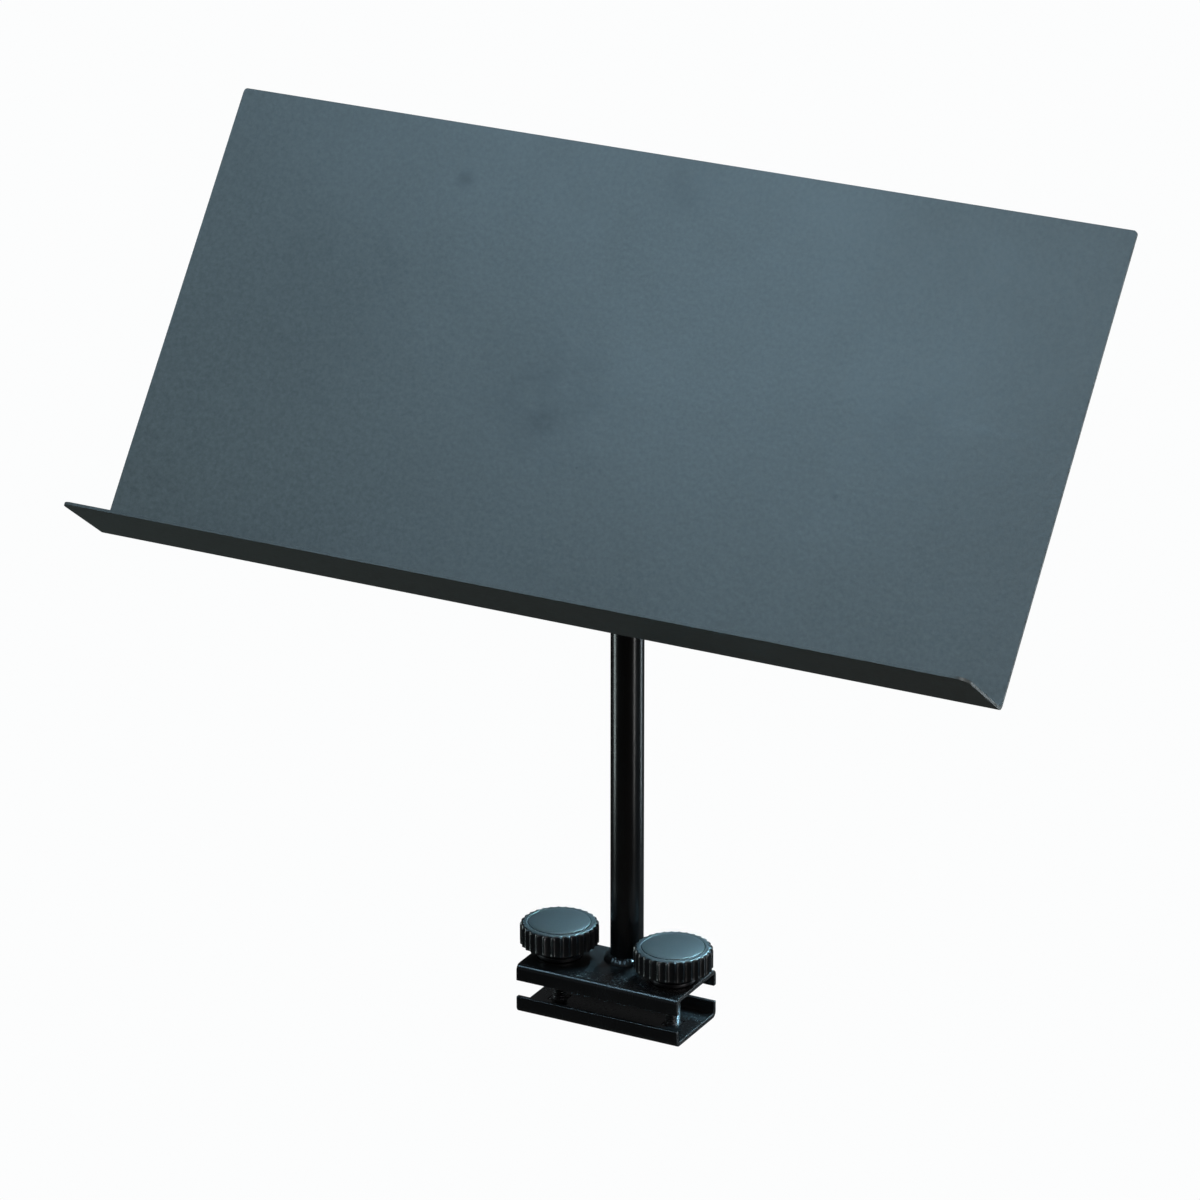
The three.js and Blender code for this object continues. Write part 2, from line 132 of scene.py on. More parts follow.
def math_node(tree, operation, first, second):
    return add(tree, "Math", {0: first, 1: second}, operation=operation).outputs[0]


def plus(tree, value, mask, amount):
    """value + amount x mask. A negative amount takes away."""
    return math_node(tree, "ADD", value, math_node(tree, "MULTIPLY", mask, amount))


def remap(tree, value, low_in, high_in, low_out=0.0, high_out=1.0):
    """Carries one range to another in a straight line, and stops at its ends."""
    names = ("From Min", "From Max", "To Min", "To Max")
    values = {"Value": value, **dict(zip(names, (low_in, high_in, low_out, high_out)))}
    return add(tree, "MapRange", values).outputs["Result"]


def blend(tree, factor, first, second):
    """Mixes two colours; either may be a socket."""
    made = add(tree, "Mix", {}, data_type="RGBA")
    for socket, value in (("Factor", factor), ("A", first), ("B", second)):
        if isinstance(value, bpy.types.NodeSocket):
            tree.links.new(value, made.inputs[socket])
        else:
            made.inputs[socket].default_value = value
    return made.outputs["Result"]


def over(tree, colour, mask, share, top):
    """Lays a top colour over another where a mask is bright, at no more than a share."""
    return blend(tree, math_node(tree, "MULTIPLY", mask, share), colour, top)


def new_group(name, inputs, outputs):
    """A shader group with (name, socket kind, default) inputs and float outputs."""
    tree = bpy.data.node_groups.new(name, "ShaderNodeTree")
    for label, kind, default in inputs:
        socket = tree.interface.new_socket(label, in_out="INPUT", socket_type="NodeSocket" + kind)
        if default is not None:
            socket.default_value = default
    for label in outputs:
        tree.interface.new_socket(label, in_out="OUTPUT", socket_type="NodeSocketFloat")
    enter = tree.nodes.new("NodeGroupInput")
    leave = tree.nodes.new("NodeGroupOutput")
    return tree, enter.outputs, leave.inputs


def noise(tree, vector, scale, detail=2.0, roughness=0.5):
    values = {"Vector": vector, "Scale": scale, "Detail": detail, "Roughness": roughness}
    return add(tree, "TexNoise", values).outputs["Fac"]


print("node helpers ready")

# %% [markdown]
# ## Camera, light and floor
# The desk stands in mid air, because a tube that isn't part of it would hold it up. So the
# floor lies well below. The camera stands far off with a long lens, so that upright edges
# stay nearly parallel.

# %% Camera
VIEW_AZIMUTH = 28.03
VIEW_ELEVATION = 21.56
VIEW_DISTANCE = 3.241
LENS = 192.3
aim = np.array([-0.0175, 0.0153, 0.2028])


def direction(azimuth, elevation):
    """Unit vector towards a viewer: azimuth 0 is in front (-Y), positive goes round to +X."""
    a, e = math.radians(azimuth), math.radians(elevation)
    return np.array([math.sin(a) * math.cos(e), -math.cos(a) * math.cos(e), math.sin(e)])


def turn_to(item, place, target):
    """Puts a camera or light at a place with its -Z axis pointing at the target."""
    item.location = place
    item.rotation_euler = Vector(np.subtract(target, place)).to_track_quat("-Z", "Y").to_euler()


camera_data = bpy.data.cameras.new("camera")
camera_data.lens = LENS
camera = bpy.data.objects.new("camera", camera_data)
bpy.context.collection.objects.link(camera)
turn_to(camera, aim + VIEW_DISTANCE * direction(VIEW_AZIMUTH, VIEW_ELEVATION), aim)
bpy.context.scene.camera = camera
bpy.context.scene.view_settings.view_transform = "Standard"
print("camera at", np.round(camera.location, 3))

# %% [markdown]
# A satin sheet shows a lamp where it would mirror it. So the key lamp's place is worked out
# backwards: from the spot on the sheet where the sheen should peak, along the mirrored line
# of sight. The closer the lamp, the faster the sheen fades across the sheet. A wide fill and
# a lamp high behind lift the rest, and narrow upright strips draw the thin vertical streaks on
# the glossy post. Two small blue lamps behind the clamp skim the tops of the knobs. Their beams
# are narrow, so the back of the desk stays neutral at rest. It takes on some blue when the desk
# is tilted upright.

# %% Lights
middle = (np.array(cad_box[0]) + np.array(cad_box[1])) / 2
KEY_DISTANCE = 2.0


def lamp(name, place, target, size, watts, tint, spread):
    """A flat lamp that faces a point and isn't itself seen. A spread of few degrees keeps its
    beam narrow, as a honeycomb grid over a soft box does."""
    data = bpy.data.lights.new(name, "AREA")
    data.shape = "RECTANGLE"
    data.size, data.size_y = size
    data.energy, data.color = watts, tint
    data.spread = math.radians(spread)
    made = bpy.data.objects.new(name, data)
    bpy.context.collection.objects.link(made)
    turn_to(made, place, target)
    made.visible_camera = False


def mirrored(point, normal):
    """Where a mirror at a point sends the line of sight: 2 (v . n) n - v, v to the camera."""
    sight = np.array(camera.location) - point
    sight /= np.linalg.norm(sight)
    return 2 * (sight @ normal) * normal - sight


COOL = (0.47, 0.77, 1.0)
BLUE = (0.42, 0.80, 1.0)
WIDE = 180
SHEEN = (0.072, -0.0285, 0.112)     # right, back and up from the tilt axis, on the sheet's face
sheen = carried(SHEEN, pivot, ON_DESK)
lamp("key", sheen + KEY_DISTANCE * mirrored(sheen, -desk_back), sheen, (0.60, 0.2), 12.6, COOL, WIDE)
grip = np.zeros(3)                  # the frame's origin, between the clamp's bolts
for name, target, azimuth, elevation, distance, size, watts, tint, spread in (
        ("fill", middle, 62, 40, 2.2, (1.4, 1.0), 21, (1.0, 0.97, 0.95), WIDE),
        ("top_back", middle, 178, 66, 2.4, (1.2, 1.2), 15, (0.86, 0.94, 1.0), WIDE),
        ("left_strip", middle, -69, -12, 1.1, (0.20, 0.72), 3.4, (0.84, 1.0, 0.99), WIDE),
        ("right_strip", middle, 79, -12, 1.1, (0.05, 0.72), 1.45, (1.0, 1.0, 1.0), WIDE),
        ("rear_strip", middle, 141, -13, 1.1, (0.08, 0.72), 1.6, (0.8, 0.93, 1.0), WIDE),
        ("back", grip, 178, 48, 1.6, (0.4, 0.2), 1.05, BLUE, 16),
        ("rim", grip, 130, 45, 1.2, (0.2, 0.2), 0.45, BLUE, 20)):
    lamp(name, target + distance * direction(azimuth, elevation), target, size, watts, tint, spread)
print("lamps", [item.name for item in bpy.data.lights])

# %% [markdown]
# The camera sees a pale backdrop, but the backdrop lights the object only dimly. That keeps
# the black paint black, and the lamps alone draw its streaks.

# %% Backdrop
world = bpy.data.worlds.new("studio")
world.use_nodes = True
bpy.context.scene.world = world
PALE = (0.975, 0.98, 0.982, 1)
AMBIENT = (0.075, 0.078, 0.08, 1)
sky = world.node_tree
seen = add(sky, "LightPath").outputs["Is Camera Ray"]
sky.links.new(blend(sky, seen, AMBIENT, PALE), sky.nodes["Background"].inputs["Color"])
print("backdrop", PALE[:3], "ambient", AMBIENT[:3])

# %% [markdown]
# The floor is one large square. It looks as pale as the backdrop but sends little light back
# up, as if it were far away. From below it is clear, so that the underside can be looked at.

# %% Floor
FLOOR_DROP = 0.55
FLOOR_REACH = 60
FLOOR_DULL = (0.078, 0.067, 0.059, 1)
floor_level = cad_box[0][2] - FLOOR_DROP
floor_mesh = bpy.data.meshes.new("floor")
edge = FLOOR_REACH / 2
floor_mesh.from_pydata(
    [(-edge, -edge, floor_level), (edge, -edge, floor_level),
     (edge, edge, floor_level), (-edge, edge, floor_level)], [], [(0, 1, 2, 3)])
floor = bpy.data.objects.new("floor", floor_mesh)
bpy.context.collection.objects.link(floor)

floor_paint = bpy.data.materials.new("floor_paint")
floor_paint.use_nodes = True
tree = floor_paint.node_tree
tree.nodes.clear()
dull = add(tree, "BsdfDiffuse", {"Color": FLOOR_DULL}).outputs[0]
bright = add(tree, "Emission", {"Color": PALE}).outputs[0]
clear = add(tree, "BsdfTransparent").outputs[0]
ray = add(tree, "LightPath").outputs["Is Camera Ray"]
side = add(tree, "NewGeometry").outputs["Backfacing"]
by_ray = add(tree, "MixShader", {0: ray, 1: dull, 2: bright}).outputs[0]
by_side = add(tree, "MixShader", {0: side, 1: by_ray, 2: clear}).outputs[0]
add(tree, "OutputMaterial", {"Surface": by_side})
floor_mesh.materials.append(floor_paint)
print("floor at", round(floor_level, 3))

# %% [markdown]
# ## Surfaces from grids
# Almost every piece here is a sheet of points that two numbers run over: along a profile and
# round an axis, or along a path and round a section. numpy works out the whole sheet at once
# and a quad joins each four neighbours. Where a profile starts or ends on its axis, the points
# there fall together and are merged. Normals are then made to point outwards, and edges
# sharper than a set angle stay crisp while the rest is shaded smooth.

# %% Grid helpers
SHARP_ANGLE = math.radians(33)
SAME_POINT = 1e-7


def object_of(name, mesh):
    piece = bpy.data.objects.new(name, mesh)
    bpy.context.collection.objects.link(piece)
    return piece


def shaded(mesh):
    mesh.shade_smooth()
    mesh.set_sharp_from_angle(angle=SHARP_ANGLE)


def tidied(mesh, fill):
    """Merges points that fall together, closes open ends if asked, and turns faces outwards."""
    work = bmesh.new()
    work.from_mesh(mesh)
    bmesh.ops.remove_doubles(work, verts=work.verts, dist=SAME_POINT)
    if fill:
        bmesh.ops.holes_fill(work, edges=work.edges, sides=0)
    bmesh.ops.recalc_face_normals(work, faces=work.faces)
    work.to_mesh(mesh)
    work.free()
    shaded(mesh)
    return mesh


def grid(name, points, round_rows=False, round_columns=False, fill=False):
    """One quad between each four neighbours of a (rows, columns, 3) grid of points."""
    rows, columns = points.shape[:2]
    index = np.arange(rows * columns).reshape(rows, columns)
    if round_rows:
        index = np.vstack([index, index[:1]])
    if round_columns:
        index = np.hstack([index, index[:, :1]])
    corners = [index[:-1, :-1], index[:-1, 1:], index[1:, 1:], index[1:, :-1]]
    quads = np.stack(corners, axis=-1).reshape(-1, 4)
    mesh = bpy.data.meshes.new(name)
    mesh.from_pydata(points.reshape(-1, 3), [], quads)
    return object_of(name, tidied(mesh, fill))


def full_turn(steps):
    """Equal angles once round, without the last, which would repeat the first."""
    return np.arange(steps) / steps * 2 * np.pi


def on_circle(radius, angle):
    """Points (r cos t, r sin t)."""
    return radius * np.stack([np.cos(angle), np.sin(angle)], axis=-1)


def disc(radius, steps=48):
    return on_circle(radius, full_turn(steps))


def turned(name, radii, heights, origin, axes, steps, ring=False):
    """A profile turned about its axis: (r cos t, r sin t, z). Radii may also vary with t."""
    angle = full_turn(steps)
    radius = np.broadcast_to(np.asarray(radii, float).reshape(len(radii), -1), (len(radii), steps))
    height = np.broadcast_to(np.asarray(heights, float).reshape(-1, 1), radius.shape)
    points = np.stack([radius * np.cos(angle), radius * np.sin(angle), height], axis=-1)
    return grid(name, carried(points, origin, axes), round_rows=ring, round_columns=True)


def rounded(corners, steps=8):
    """An outline through (x, y, radius) corners. Each corner with a radius becomes an arc that
    touches both its sides: it starts r / tan(half the corner's angle) before the corner."""
    corners = np.asarray(corners, float)
    outline = []
    for before, here, after in zip(np.roll(corners, 1, 0), corners, np.roll(corners, -1, 0)):
        tip, radius = here[:2], here[2]
        if radius == 0:
            outline.append(tip)
            continue
        to_before = (before[:2] - tip) / np.linalg.norm(before[:2] - tip)
        to_after = (after[:2] - tip) / np.linalg.norm(after[:2] - tip)
        half = math.acos(np.clip(to_before @ to_after, -1, 1)) / 2
        bisector = (to_before + to_after) / np.linalg.norm(to_before + to_after)
        centre = tip + bisector * radius / math.sin(half)
        first = tip + to_before * radius / math.tan(half) - centre
        last = tip + to_after * radius / math.tan(half) - centre
        share = np.linspace(0, 1, steps + 1)[:, None]
        sweep = math.pi - 2 * half
        swing = np.sin((1 - share) * sweep) * first + np.sin(share * sweep) * last
        outline.extend(centre + swing / math.sin(sweep))
    return np.array(outline)


def prism(name, outline, start, end, origin, axes):
    """A closed outline in x and y carried straight along z, with both ends filled."""
    points = np.stack([np.column_stack([outline, np.full(len(outline), z)]) for z in (start, end)])
    return grid(name, carried(points, origin, axes), round_columns=True, fill=True)


def carve(piece, tool, operation="DIFFERENCE"):
    """Cuts a tool out of a piece, or keeps or joins it, and leaves a plain mesh."""
    step = piece.modifiers.new("carve", "BOOLEAN")
    step.object, step.operation, step.solver = tool, operation, "EXACT"
    graph = bpy.context.evaluated_depsgraph_get()
    carved = bpy.data.meshes.new_from_object(piece.evaluated_get(graph))
    piece.modifiers.clear()
    piece.data = carved
    shaded(carved)
    bpy.data.objects.remove(tool)
    return piece


def soften(piece, width, segments=2):
    """Rounds the piece's hard edges by a small bevel, as paint and tumbling do."""
    step = piece.modifiers.new("soften", "BEVEL")
    step.width, step.segments = width, segments
    step.limit_method, step.angle_limit = "ANGLE", SHARP_ANGLE
    step.harden_normals = True
    return piece


print("grid helpers ready")

# %% [markdown]
# ## Shader groups
# Paint, plastic and plated steel share a few effects, so each effect is one node group with
# named inputs. A group only puts out masks and heights. The material decides what they do:
# a mask may lighten a colour, roughen a gloss or lift a bump.
#
# ### Paint film
# Powder coat melts into a skin that is never quite flat. Fine grain of a few tenths of a
# millimetre sits on broader ripples a few millimetres wide, called orange peel. Here and
# there a grain of dust is trapped under the skin and stands up as a nib.

# %% Paint film group
tree, given, out = new_group(
    "paint_film",
    [("Vector", "Vector", None), ("Grain Size", "Float", 900.0), ("Peel Size", "Float", 160.0)],
    ["Grain", "Height", "Nibs"])
grain = noise(tree, given["Vector"], given["Grain Size"], 4.0, 0.68)
peel = noise(tree, given["Vector"], given["Peel Size"], 1.0, 0.4)
cells = add(tree, "TexVoronoi", {"Vector": given["Vector"], "Scale": 26.0}, feature="F1")
spot = remap(tree, cells.outputs["Distance"], 0.012, 0.03, 1.0, 0.0)
rare = add(tree, "SeparateColor", {"Color": cells.outputs["Color"]}).outputs["Red"]
nibs = math_node(tree, "MULTIPLY", spot, math_node(tree, "GREATER_THAN", rare, 0.72))
height = math_node(tree, "ADD", math_node(tree, "MULTIPLY", grain, 0.35), peel)
height = plus(tree, height, nibs, 0.7)
for name, value in (("Grain", grain), ("Height", height), ("Nibs", nibs)):
    tree.links.new(value, out[name])
paint_film = tree

# %% [markdown]
# ### Mottling, rubbed marks, edges and dust
# Mottling is two soft clouds of different size. Rubbed marks are noise stretched until it
# reads as fine lines, shown only where a broader noise allows. Edges are found by comparing
# the true normal with one taken from a slightly rounded copy of the surface. The materials
# paint them as wear, and on the enamel and the knobs also as a painted highlight. Dust
# settles on faces that look up in the piece's own axes, so it stays put when a part moves.

# %% Wear groups
tree, given, out = new_group(
    "mottling", [("Vector", "Vector", None), ("Size", "Float", 8.0)], ["Cloud"])
broad = noise(tree, given["Vector"], given["Size"], 2.0, 0.45)
finer = noise(tree, given["Vector"], math_node(tree, "MULTIPLY", given["Size"], 5.3), 3.0, 0.55)
cloud = math_node(tree, "ADD", math_node(tree, "MULTIPLY", broad, 0.7),
                  math_node(tree, "MULTIPLY", finer, 0.3))
tree.links.new(remap(tree, cloud, 0.32, 0.68), out["Cloud"])
mottling = tree

tree, given, out = new_group(
    "rub_marks",
    [("Vector", "Vector", None), ("Spacing", "Float", 60.0), ("Stretch", "Float", 40.0)],
    ["Marks"])
scaled = add(tree, "CombineXYZ", {"X": given["Stretch"], "Y": 1.0, "Z": 1.0}).outputs[0]
stretched = add(tree, "VectorMath", {0: given["Vector"], 1: scaled}, operation="MULTIPLY").outputs[0]
lines = remap(tree, noise(tree, stretched, given["Spacing"], 4.0, 0.7), 0.60, 0.72)
patches = remap(tree, noise(tree, given["Vector"], 14.0), 0.48, 0.66)
tree.links.new(math_node(tree, "MULTIPLY", lines, patches), out["Marks"])
rub_marks = tree

tree, given, out = new_group(
    "edge_wear_and_highlight",
    [("Vector", "Vector", None), ("Radius", "Float", 0.0006), ("Breaks", "Float", 220.0)],
    ["Edge"])
round_normal = add(tree, "Bevel", {"Radius": given["Radius"]}, samples=4).outputs["Normal"]
true_normal = add(tree, "NewGeometry").outputs["Normal"]
agree = add(tree, "VectorMath", {0: round_normal, 1: true_normal},
            operation="DOT_PRODUCT").outputs["Value"]
near_edge = remap(tree, agree, 0.995, 0.90)
broken = remap(tree, noise(tree, given["Vector"], given["Breaks"], 4.0, 0.6), 0.38, 0.62)
tree.links.new(math_node(tree, "MULTIPLY", near_edge, broken), out["Edge"])
edge_wear_and_highlight = tree

tree, given, out = new_group("dust", [("Vector", "Vector", None), ("Specks", "Float", 520.0)], ["Dust"])
own_normal = add(tree, "TexCoord").outputs["Normal"]
up_share = add(tree, "SeparateXYZ", {"Vector": own_normal}).outputs["Z"]
facing_up = remap(tree, up_share, 0.35, 1.0)
drifts = remap(tree, noise(tree, given["Vector"], 32.0, 3.0), 0.36, 0.75)
specks = remap(tree, noise(tree, given["Vector"], given["Specks"], 2.0, 0.8), 0.52, 0.75)
film = math_node(tree, "MULTIPLY", facing_up, math_node(tree, "MULTIPLY", drifts, specks))
tree.links.new(film, out["Dust"])
dust = tree
print("wear groups", [group.name for group in bpy.data.node_groups])

# %% [markdown]
# ### Smudges
# A smudge is a soft round spot: full at its middle and gone at 1.2 times its reach. The place
# is shifted by noise before the distance is taken, so the outline is ragged, and a finer noise
# makes it patchy.

# %% Smudge group
tree, given, out = new_group(
    "smudge", [("Vector", "Vector", None), ("Place", "Vector", None), ("Reach", "Float", 0.02)],
    ["Smudge"])
ragged = add(tree, "TexNoise", {"Vector": given["Vector"], "Scale": 60.0, "Detail": 3.0})
shift = add(tree, "VectorMath", {0: ragged.outputs["Color"], 1: (0.5, 0.5, 0.5)}, operation="SUBTRACT")
shift = add(tree, "VectorMath", {0: shift.outputs[0], "Scale": given["Reach"]}, operation="SCALE")
moved = add(tree, "VectorMath", {0: given["Vector"], 1: shift.outputs[0]}, operation="ADD")
away = add(tree, "VectorMath", {0: moved.outputs[0], 1: given["Place"]}, operation="DISTANCE")
share = math_node(tree, "DIVIDE", away.outputs["Value"], given["Reach"])
near = add(tree, "MapRange", {"Value": share, "From Min": 1.2, "From Max": 0.0},
           interpolation_type="SMOOTHERSTEP")
patchy = remap(tree, noise(tree, given["Vector"], 90.0, 4.0, 0.6), 0.30, 0.62, 0.35, 1.0)
tree.links.new(math_node(tree, "MULTIPLY", near.outputs["Result"], patchy), out["Smudge"])
smudge = tree
print("smudge nodes", len(smudge.nodes))

# %% [markdown]
# ### How a material is put together
# Each material starts from object coordinates, mixes its colour and its roughness from the
# groups' masks, and ends with a bump from one height.

# %% Material helpers
def group_node(tree, group, vector, **values):
    """Places a shader group in a material and returns its outputs."""
    made = tree.nodes.new("ShaderNodeGroup")
    made.node_tree = group
    tree.links.new(vector, made.inputs["Vector"])
    for name, value in values.items():
        made.inputs[name.replace("_", " ")].default_value = value
    return made.outputs


def mask_of(tree, group, vector, **values):
    """The only output of a group that gives one mask."""
    return group_node(tree, group, vector, **values)[0]


def start_material(name, **constants):
    """A material with its shader's fixed values set on the shader's own sockets."""
    material = bpy.data.materials.new(name)
    material.use_nodes = True
    tree = material.node_tree
    shader = tree.nodes["Principled BSDF"]
    for socket, value in constants.items():
        shader.inputs[socket.replace("_", " ")].default_value = value
    place = add(tree, "TexCoord").outputs["Object"]
    return material, tree, place


def finished(material, colour, rough, height, strength, distance):
    """Links a colour and a roughness to the shader, and a height as a bump on its normal."""
    tree = material.node_tree
    bump = add(tree, "Bump", {"Height": height, "Strength": strength, "Distance": distance})
    for socket, value in (("Base Color", colour), ("Roughness", rough),
                          ("Normal", bump.outputs["Normal"])):
        tree.links.new(value, tree.nodes["Principled BSDF"].inputs[socket])
    return material


print("material helpers ready")


# %% [markdown]
# ### Desk paint
# The sheet is powder coated in a satin blue-grey. Its colour wanders a little in soft clouds,
# hands leave it slightly glossier in places, and the cut edges are darker where the coat is
# thin. The pattern is turned with the sheet, so its rub marks run level across the desk. A
# few dull smudges are listed, in the desk's own axes, where pages and thumbs rub.

# %% Desk paint material
SMUDGES = (
    # right, up, reach, strength
    (-0.030, -0.010, 0.050, 0.42), (-0.028, -0.022, 0.011, 0.34), (-0.110, 0.092, 0.008, 0.75),
    (0.013, 0.107, 0.020, 0.30), (0.162, 0.005, 0.036, 0.25), (-0.165, 0.020, 0.070, 0.16),
    (0.136, -0.035, 0.0026, 1.0))


def desk_paint_material():
    material, tree, place = start_material("desk_paint", IOR=1.5, Metallic=0.0)
    from_axis = [-axis @ pivot for axis in ON_DESK]
    turn = add(tree, "Mapping", {"Vector": place, "Rotation": (math.radians(lean), 0, 0),
                                 "Location": from_axis})
    flat = turn.outputs["Vector"]
    film = group_node(tree, paint_film, flat, Grain_Size=430.0, Peel_Size=300.0)
    cloud = mask_of(tree, mottling, flat, Size=9.0)
    small_cloud = mask_of(tree, mottling, flat, Size=60.0)
    marks = mask_of(tree, rub_marks, flat, Spacing=34.0, Stretch=0.06)
    edge = mask_of(tree, edge_wear_and_highlight, flat, Radius=0.0009, Breaks=90.0)
    settled = mask_of(tree, dust, flat, Specks=700.0)
    colour = blend(tree, cloud, (0.057, 0.066, 0.0645, 1), (0.065, 0.076, 0.0755, 1))
    colour = over(tree, colour, small_cloud, 0.3, (0.076, 0.089, 0.0885, 1))
    speckle = remap(tree, film["Grain"], 0.30, 0.70)
    colour = blend(tree, speckle, colour, (0.097, 0.112, 0.113, 1))
    own_normal = add(tree, "TexCoord").outputs["Normal"]
    outward = add(tree, "VectorMath", {0: own_normal, 1: -desk_back}, operation="DOT_PRODUCT")
    in_front = remap(tree, outward.outputs["Value"], 0.3, 0.7)
    dulled = 0.0
    for right, up, reach, strength in SMUDGES:
        mask = mask_of(tree, smudge, flat, Place=(right, -REACH, up), Reach=reach)
        dulled = plus(tree, dulled, mask, strength)
    dulled = math_node(tree, "MULTIPLY", dulled, in_front)
    colour = blend(tree, dulled, colour, (0.026, 0.028, 0.028, 1))
    colour = over(tree, colour, film["Nibs"], 0.6, (0.012, 0.014, 0.016, 1))
    colour = over(tree, colour, edge, 0.7, (0.020, 0.025, 0.028, 1))
    colour = over(tree, colour, settled, 0.10, (0.22, 0.23, 0.23, 1))
    rough = remap(tree, cloud, 0.0, 1.0, 0.38, 0.345)
    rough = plus(tree, rough, film["Grain"], 0.10)
    rough = plus(tree, rough, marks, -0.03)
    return finished(material, colour, rough, film["Height"], 0.32, 0.22 * MM)


desk_paint = desk_paint_material()

# %% [markdown]
# ### Black enamel
# The post, the bracket and the jaws are dipped in gloss black. The skin is smoother than
# powder coat, so lights show as clean streaks with only a slight waver. Corners are painted a
# little lighter, partly for their thin paint and partly as a painted highlight along the bends,
# and the flat tops gather dust.

# %% Black enamel material
def black_enamel_material(name, peel_size, peel_lift, base_rough):
    material, tree, place = start_material(name, IOR=1.5, Metallic=0.0)
    film = group_node(tree, paint_film, place, Grain_Size=2600.0, Peel_Size=peel_size)
    cloud = mask_of(tree, mottling, place, Size=22.0)
    marks = mask_of(tree, rub_marks, place, Spacing=120.0, Stretch=9.0)
    edge = mask_of(tree, edge_wear_and_highlight, place, Radius=0.0008, Breaks=300.0)
    settled = mask_of(tree, dust, place)
    colour = blend(tree, cloud, (0.0035, 0.0036, 0.004, 1), (0.0065, 0.0066, 0.007, 1))
    # Corners lighter: partly thin paint, partly a painted highlight along the bends.
    colour = over(tree, colour, edge, 0.5, (0.035, 0.037, 0.040, 1))
    colour = over(tree, colour, settled, 0.10, (0.16, 0.16, 0.15, 1))
    rough = remap(tree, cloud, 0.0, 1.0, base_rough, base_rough + 0.08)
    rough = plus(tree, rough, marks, 0.16)
    rough = plus(tree, rough, settled, 0.20)
    return finished(material, colour, rough, film["Height"], peel_lift, 0.15 * MM)


black_enamel = black_enamel_material("black_enamel", 320.0, 0.10, 0.20)
jaw_enamel = black_enamel_material("jaw_enamel", 520.0, 0.22, 0.19)
weld_enamel = black_enamel_material("weld_enamel", 900.0, 0.45, 0.20)

# %% [markdown]
# ### Knob plastic
# The knobs are moulded in black plastic with a fine spark-eroded grain. Fingers polish the
# flutes, so the sides are glossier than the ends, which the axis of the knob tells apart: the
# share of the normal along it is 1 on the top and 0 on the side. Rub marks cross the tops.

# %% Knob plastic material
def knob_plastic_material(name, axis):
    """axis is 2 for an upright knob and 0 for the one that lies along X."""
    material, tree, place = start_material(name, IOR=1.49, Metallic=0.0)
    own_normal = add(tree, "TexCoord").outputs["Normal"]
    along = add(tree, "SeparateXYZ", {"Vector": own_normal}).outputs[axis]
    on_top = remap(tree, along, 0.5, 0.95)
    film = group_node(tree, paint_film, place, Grain_Size=3200.0, Peel_Size=1100.0)
    cloud = mask_of(tree, mottling, place, Size=60.0)
    marks = mask_of(tree, rub_marks, place, Spacing=260.0, Stretch=0.2)
    edge = mask_of(tree, edge_wear_and_highlight, place, Radius=0.0006, Breaks=500.0)
    settled = mask_of(tree, dust, place, Specks=900.0)
    colour = blend(tree, cloud, (0.0055, 0.006, 0.0068, 1), (0.0095, 0.0105, 0.0118, 1))
    # Ridges and other edges lighter: partly scuffs, partly a painted highlight on the flute crests.
    colour = over(tree, colour, edge, 0.4, (0.040, 0.044, 0.048, 1))
    colour = over(tree, colour, settled, 0.16, (0.13, 0.14, 0.15, 1))
    rough = remap(tree, film["Grain"], 0.3, 0.7, 0.17, 0.27)
    rough = plus(tree, rough, on_top, 0.17)
    rough = plus(tree, rough, edge, -0.05)
    rough = plus(tree, rough, marks, 0.14)
    return finished(material, colour, rough, film["Height"], 0.22, 0.08 * MM)


knob_plastic = knob_plastic_material("knob_plastic", 2)
tilt_knob_plastic = knob_plastic_material("tilt_knob_plastic", 0)

# %% [markdown]
# ### Metals and fibre
# Bolts, washers and the tilt head are steel with black zinc plating: dark, metallic and a bit
# uneven, with bright steel showing on worn corners. The inserts are turned brass. The friction
# washers are pressed fibre, a brown board with short flecks in it.

# %% Metal and fibre materials
def black_zinc_material():
    material, tree, place = start_material("black_zinc", Metallic=1.0)
    cloud = mask_of(tree, mottling, place, Size=120.0)
    film = group_node(tree, paint_film, place, Grain_Size=2400.0, Peel_Size=800.0)
    edge = mask_of(tree, edge_wear_and_highlight, place, Radius=0.0004, Breaks=700.0)
    marks = mask_of(tree, rub_marks, place, Spacing=300.0, Stretch=0.3)
    colour = blend(tree, cloud, (0.045, 0.046, 0.050, 1), (0.080, 0.078, 0.080, 1))
    colour = over(tree, colour, edge, 0.7, (0.42, 0.42, 0.43, 1))
    colour = over(tree, colour, marks, 0.3, (0.26, 0.26, 0.27, 1))
    rough = remap(tree, film["Grain"], 0.3, 0.7, 0.28, 0.44)
    return finished(material, colour, rough, film["Height"], 0.15, 0.05 * MM)


def brass_material():
    material, tree, place = start_material("insert_brass", Metallic=1.0)
    cloud = mask_of(tree, mottling, place, Size=150.0)
    marks = mask_of(tree, rub_marks, place, Spacing=500.0, Stretch=0.2)
    colour = blend(tree, cloud, (0.50, 0.33, 0.12, 1), (0.62, 0.44, 0.19, 1))
    colour = over(tree, colour, marks, 0.4, (0.30, 0.19, 0.08, 1))
    rough = remap(tree, marks, 0.0, 1.0, 0.26, 0.42)
    return finished(material, colour, rough, marks, 0.2, 0.05 * MM)


